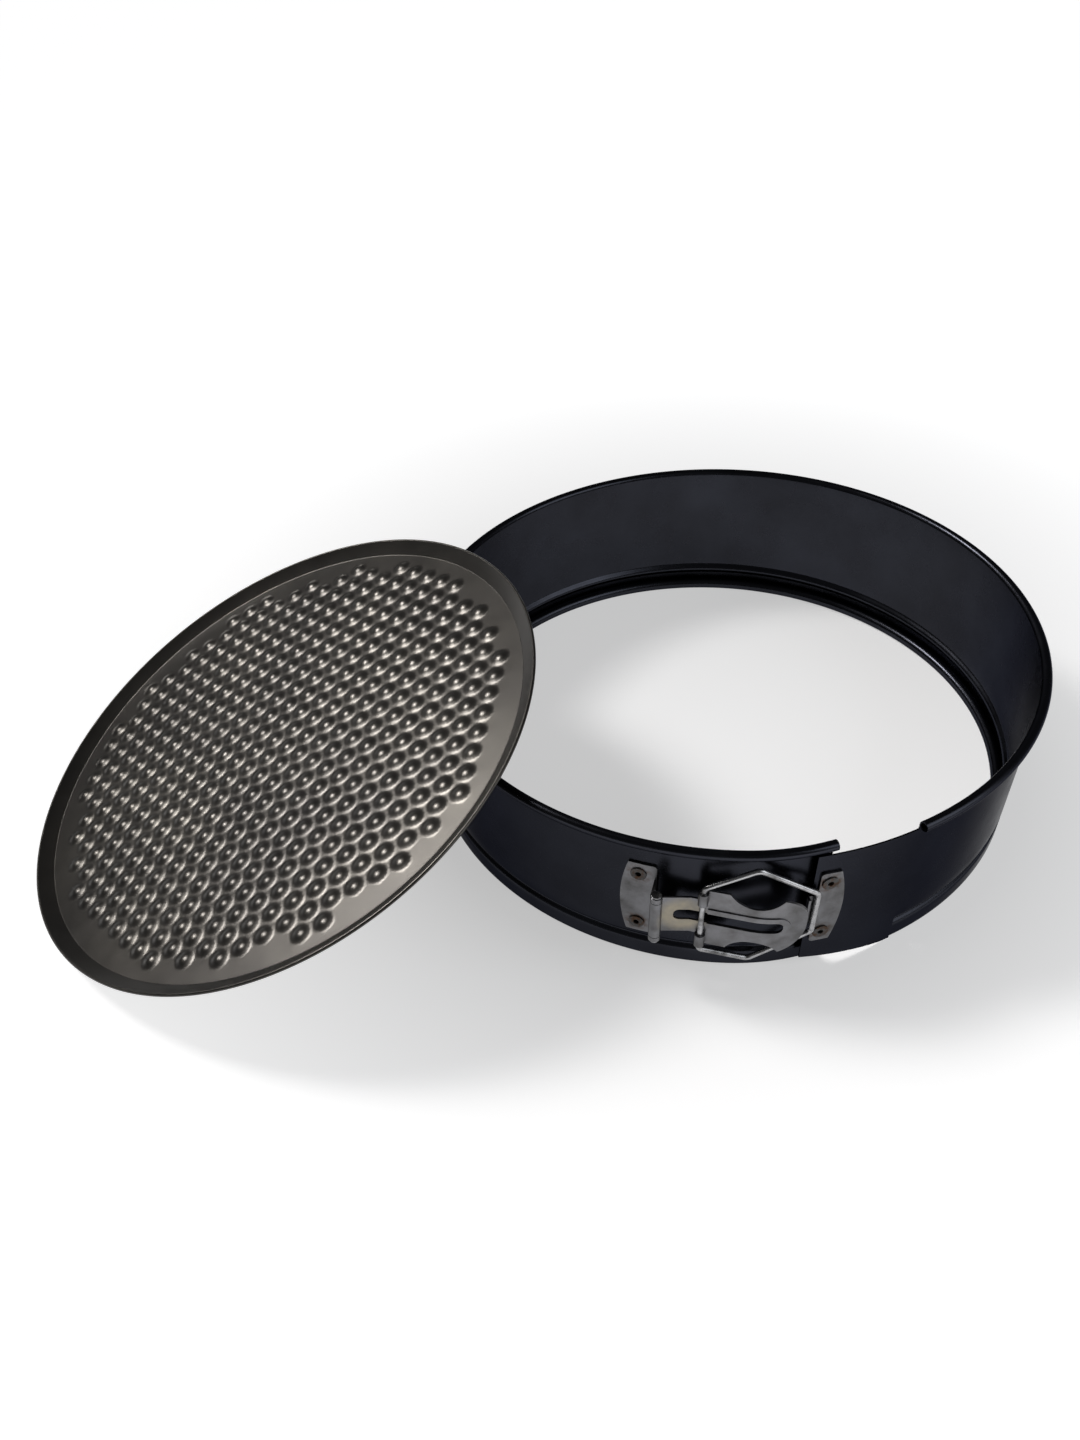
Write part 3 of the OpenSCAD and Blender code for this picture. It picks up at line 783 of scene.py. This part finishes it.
def set_sky(horizon, zenith):
    """A white sky that is brighter at the horizon than overhead."""
    world = bpy.data.worlds.new("soft_white")
    bpy.context.scene.world = world
    world.use_nodes = True
    tree = world.node_tree
    back = tree.nodes["Background"]
    back.inputs["Color"].default_value = WHITE
    coords = tree.nodes.new("ShaderNodeTexCoord")
    split = tree.nodes.new("ShaderNodeSeparateXYZ")
    fade = tree.nodes.new("ShaderNodeMapRange")
    fade.inputs["To Min"].default_value = horizon
    fade.inputs["To Max"].default_value = zenith
    tree.links.new(coords.outputs["Generated"], split.inputs[0])
    tree.links.new(split.outputs["Z"], fade.inputs["Value"])
    tree.links.new(fade.outputs[0], back.inputs["Strength"])


def add_light(name, place, target, side, power, shade, spread):
    """A square soft light at a place, turned to a target, in millimetres, watts and degrees of spread."""
    data = bpy.data.lights.new(name, "AREA")
    data.shape = "SQUARE"
    data.size = side * MM
    data.energy = power
    data.color = shade
    data.spread = math.radians(spread)
    light = bpy.data.objects.new(name, data)
    bpy.context.scene.collection.objects.link(light)
    away = np.array(place, float) - np.array(target, float)
    away = away / np.linalg.norm(away)
    right = np.cross((0.0, 0.0, 1.0), away)
    right = right / np.linalg.norm(right)
    turn = np.eye(4)
    turn[:3, :3] = np.stack([right, np.cross(away, right), away], 1)
    turn[:3, 3] = np.array(place) * MM
    light.matrix_world = Matrix(turn.tolist())


def turn_about(axis, a):
    """Matrix of a turn by angle a about axis 0, 1 or 2."""
    turn = np.eye(3)
    i, j = (axis + 1) % 3, (axis + 2) % 3
    turn[i, i] = turn[j, j] = np.cos(a)
    turn[i, j] = -np.sin(a)
    turn[j, i] = np.sin(a)
    return turn


def add_camera(stage):
    """The camera, from its place and its turns: about the ring's axis, to the side, down and about its own
    axis."""
    level = np.array([[1, 0, 0], [0, 0, -1], [0, 1, 0]])
    rows = turn_about(2, stage.roll) @ turn_about(0, stage.pitch) @ turn_about(1, stage.pan)
    rows = rows @ level @ turn_about(2, stage.around)
    data = bpy.data.cameras.new("camera")
    data.sensor_width = stage.sensor
    data.lens = stage.lens
    data.shift_x = stage.shift_x
    data.shift_y = stage.shift_y
    data.clip_start = stage.nearest
    data.clip_end = stage.farthest
    camera = bpy.data.objects.new("camera", data)
    bpy.context.scene.collection.objects.link(camera)
    turn = np.eye(4)
    turn[:3, :3] = np.stack([rows[0], -rows[1], -rows[2]], 1)
    turn[:3, 3] = (stage.camera_x, stage.camera_y, stage.camera_z)
    camera.matrix_world = Matrix(turn.tolist())
    bpy.context.scene.camera = camera


class PAN_OT_stage(bpy.types.Operator):
    """Makes the table, the light and the camera."""
    bl_idname = "pan.stage"
    bl_label = "Stage"

    def execute(self, context):
        """Lays the table, hangs the sky and the lights, and sets up the camera."""
        stage = context.scene.pan_stage
        h = stage.floor_half
        corners = np.array([[-h, -h, 0], [h, -h, 0], [h, h, 0], [-h, h, 0]])
        floor = put_mesh("floor", corners, [np.array([[0, 1, 2, 3]])])
        floor.data.materials.append(floor_material(context.scene.pan_colours, stage))
        set_sky(stage.horizon, stage.zenith)
        for name, light in LIGHTS.items():
            add_light(name, **light)
        add_camera(stage)
        context.scene.view_settings.view_transform = "Standard"
        return {"FINISHED"}


class PAN_PT_panel(bpy.types.Panel):
    """Lists the pan's pieces in the sidebar."""
    bl_idname = "PAN_PT_panel"
    bl_label = "Springform pan"
    bl_space_type = "VIEW_3D"
    bl_region_type = "UI"
    bl_category = "Pan"

    def draw(self, context):
        """Draws one button for each operator."""
        for operator in OPERATORS:
            self.layout.operator(operator.bl_idname)


GROUPS = {
    "pan_ring": PanRingSizes,
    "pan_base": PanBaseSizes,
    "pan_colours": PanColours,
    "pan_stage": PanStageSettings,
}
OPERATORS = (PAN_OT_ring, PAN_OT_base, PAN_OT_latch, PAN_OT_stage)
CLASSES = (*GROUPS.values(), *OPERATORS, PAN_PT_panel)


def register():
    """Registers the classes, and gives every scene the groups of sizes and colours."""
    for cls in CLASSES:
        bpy.utils.register_class(cls)
    for name, group in GROUPS.items():
        setattr(bpy.types.Scene, name, bpy.props.PointerProperty(type=group))


def unregister():
    """Undoes register."""
    for name in GROUPS:
        delattr(bpy.types.Scene, name)
    for cls in reversed(CLASSES):
        bpy.utils.unregister_class(cls)


def main():
    """Makes the pan and its stage."""
    register()
    bpy.ops.pan.ring()
    bpy.ops.pan.base()
    bpy.ops.pan.latch()
    bpy.ops.pan.stage()


if __name__ == "__main__":
    main()
